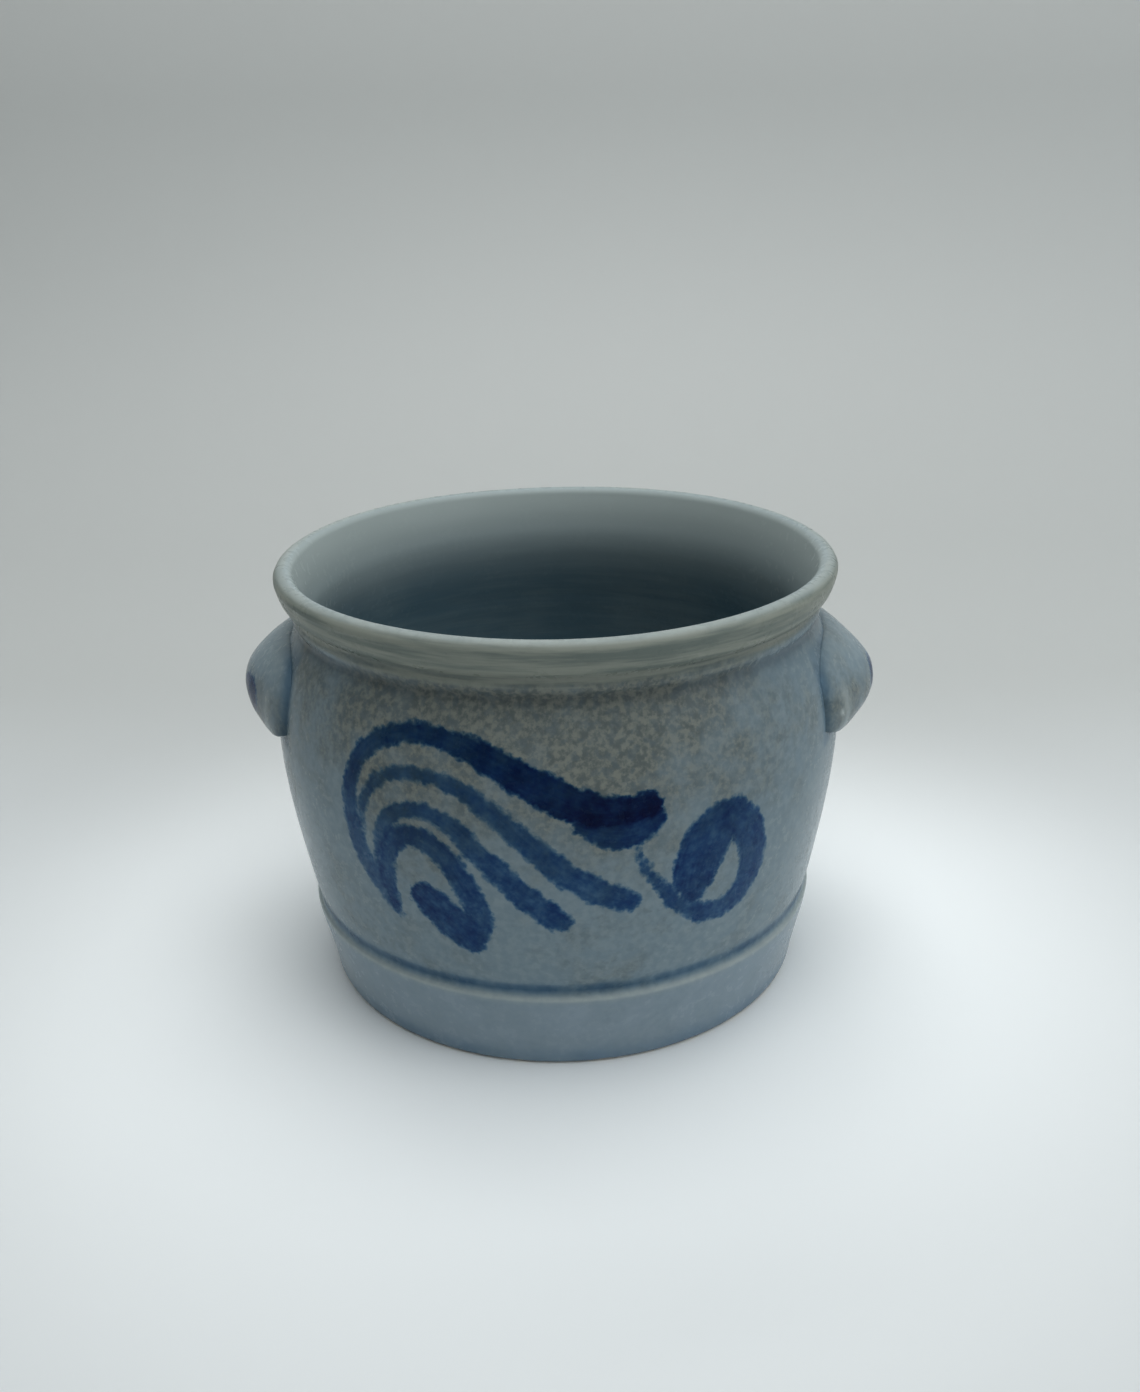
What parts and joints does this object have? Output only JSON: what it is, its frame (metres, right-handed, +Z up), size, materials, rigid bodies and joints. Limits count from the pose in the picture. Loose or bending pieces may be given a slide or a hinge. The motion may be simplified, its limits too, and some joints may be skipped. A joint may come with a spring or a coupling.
{
  "type": "stoneware fermenting crock",
  "caption": "Small open salt-glazed stoneware crock with a rolled rim, two lug handles, a cobalt brush scroll and two half-moon weight stones inside.",
  "frame": {"origin": "centre of the foot, on the surface that the crock stands on", "axes": "+Z up out of the mouth, -Y towards the painted front, +X towards the right lug handle as seen from the front"},
  "size_m": [0.1752, 0.1544, 0.1169],
  "materials": {
    "salt_glaze": "gloss",
    "bare_stoneware": "matte"
  },
  "bodies": {
    "crock": {"crock_body": "salt_glaze", "lug_handle_left": "salt_glaze", "lug_handle_right": "salt_glaze"},
    "stone_left": {"weight_stone_left": "bare_stoneware"},
    "stone_right": {"weight_stone_right": "bare_stoneware"}
  },
  "joints": [
    {"name": "stone_left_lift", "type": "slide", "parent": "crock", "child": "stone_left", "axis": [0, 0, 1], "range_m": [0, 0.13]},
    {"name": "stone_right_lift", "type": "slide", "parent": "crock", "child": "stone_right", "axis": [0, 0, 1], "range_m": [0, 0.13]}
  ]
}
